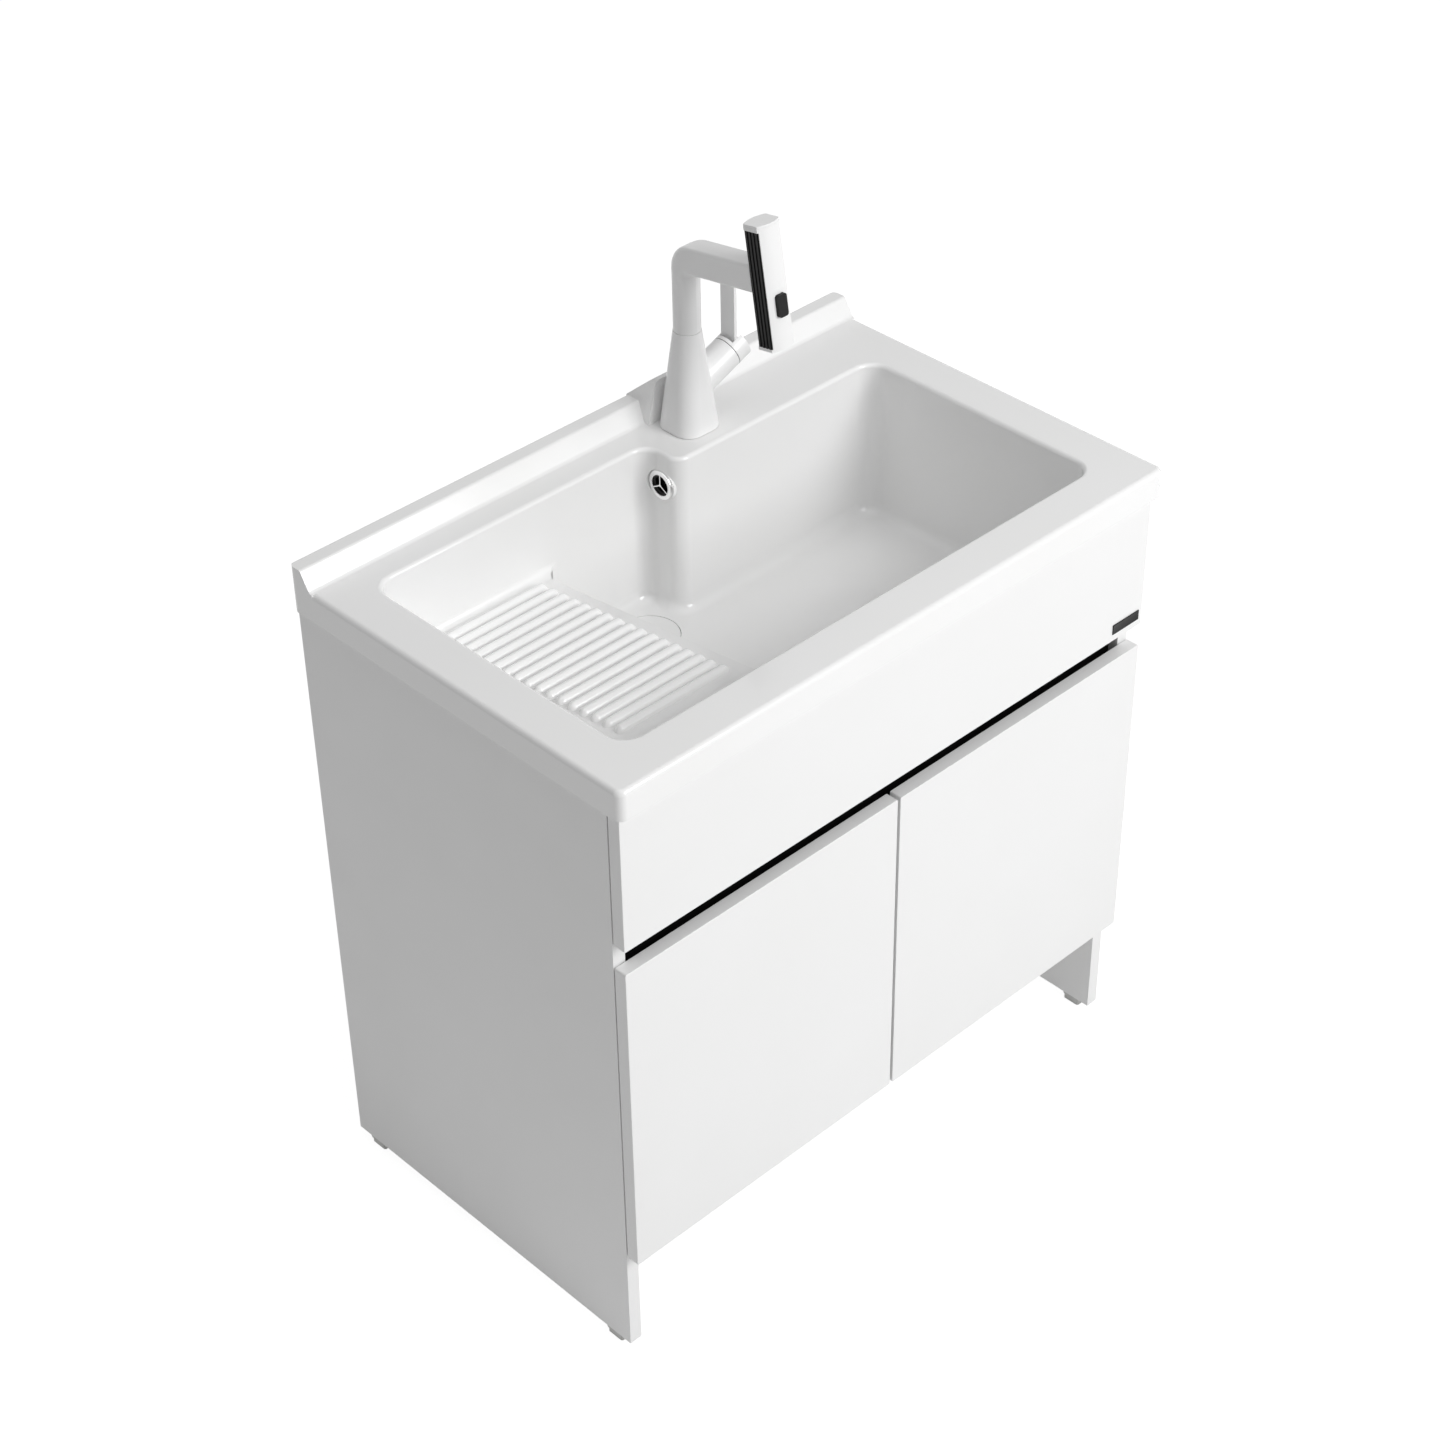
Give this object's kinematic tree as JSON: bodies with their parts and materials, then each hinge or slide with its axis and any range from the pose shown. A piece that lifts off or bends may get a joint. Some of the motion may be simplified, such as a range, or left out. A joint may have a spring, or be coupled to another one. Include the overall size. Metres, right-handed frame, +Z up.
{
  "type": "utility_laundry_sink",
  "caption": "Ceramic utility sink with a moulded washboard on a floor-standing two-door cabinet, with a single-lever tap and pull-out spray head.",
  "frame": {"origin": "on the floor, at the centre of the footprint", "axes": "+Z up, -Y towards the user, +Y towards the wall, +X to the user's right"},
  "size_m": [0.8, 0.5, 1.0953],
  "materials": {
    "glazed_ceramic": "gloss",
    "lacquered_board": "satin",
    "tap_white": "satin",
    "chrome": "polished",
    "zinc": "satin",
    "grey_plastic": "satin",
    "black_plastic": "matte",
    "rubber": "matte"
  },
  "bodies": {
    "cabinet": {"basin": "glazed_ceramic", "drain_flange": "chrome", "click_insert": "grey_plastic", "drain_seal": "rubber", "waste_body": "grey_plastic", "tail_nut": "grey_plastic", "trap_body": "grey_plastic", "trap_cup": "grey_plastic", "cup_seal": "rubber", "outlet_pipe": "grey_plastic", "outlet_nut": "grey_plastic", "wall_rosette": "grey_plastic", "overflow_ring": "chrome", "overflow_throat": "black_plastic", "overflow_web": "chrome", "overflow_seal": "rubber", "overflow_elbow": "grey_plastic", "overflow_pipe": "grey_plastic", "tap_body": "tap_white", "tap_gasket": "rubber", "tap_shank": "zinc", "clamp_washer": "zinc", "clamp_nut": "zinc", "mixer_cartridge": "grey_plastic", "cartridge_nut": "zinc", "gap_ring": "black_plastic", "swivel_ring": "grey_plastic", "side_panel_left": "lacquered_board", "side_panel_right": "lacquered_board", "bottom_panel": "lacquered_board", "back_rail_upper": "lacquered_board", "back_rail_lower": "lacquered_board", "front_panel": "lacquered_board", "panel_brackets": "zinc", "grip_channel": "black_plastic", "hinge_arms_left": "zinc", "hinge_arms_right": "zinc", "feet": "grey_plastic"},
    "plug": {"drain_cover": "glazed_ceramic", "cover_seal": "rubber"},
    "spout": {"spout": "tap_white"},
    "spray": {"spray_body": "tap_white", "spray_top_cap": "tap_white", "grip_strip": "black_plastic", "spray_nozzle": "grey_plastic", "spray_shank": "grey_plastic"},
    "button": {"spray_button": "black_plastic"},
    "handle": {"handle_cap": "tap_white", "lever_pin": "zinc"},
    "lever": {"lever": "tap_white"},
    "left_door": {"door_left": "lacquered_board", "hinge_cups_left": "zinc", "door_bumpers_left": "rubber"},
    "right_door": {"door_right": "lacquered_board", "hinge_cups_right": "zinc", "door_bumpers_right": "rubber"}
  },
  "joints": [
    {"name": "left_door_hinge", "type": "hinge", "parent": "cabinet", "child": "left_door", "pos_m": [-0.393, -0.24, 0.357], "axis": [0, 0, -1], "range_deg": [0, 100]},
    {"name": "right_door_hinge", "type": "hinge", "parent": "cabinet", "child": "right_door", "pos_m": [0.393, -0.24, 0.357], "axis": [0, 0, 1], "range_deg": [0, 100]},
    {"name": "spout_swing", "type": "hinge", "parent": "cabinet", "child": "spout", "pos_m": [0.101, 0.18, 0.92], "axis": [0, 0, 1], "range_deg": [-60, 60]},
    {"name": "spray_pull", "type": "slide", "parent": "spout", "child": "spray", "axis": [0, -0.9869, 0.1616], "range_m": [0, 0.05]},
    {"name": "button_press", "type": "slide", "parent": "spray", "child": "button", "axis": [0, 0.9869, -0.1616], "range_m": [0, 0.0022], "stiffness_N_per_m": 800, "springref_m": -0.0005},
    {"name": "handle_turn", "type": "hinge", "parent": "cabinet", "child": "handle", "pos_m": [0.101, 0.18, 0.8436], "axis": [0.9239, 0, 0.3827], "range_deg": [-40, 40]},
    {"name": "lever_lift", "type": "hinge", "parent": "handle", "child": "lever", "pos_m": [0.1635, 0.18, 0.877], "axis": [0, 1, 0], "range_deg": [0, 18]},
    {"name": "plug_lift", "type": "slide", "parent": "cabinet", "child": "plug", "axis": [0, 0, 1], "range_m": [0, 0.008]}
  ]
}
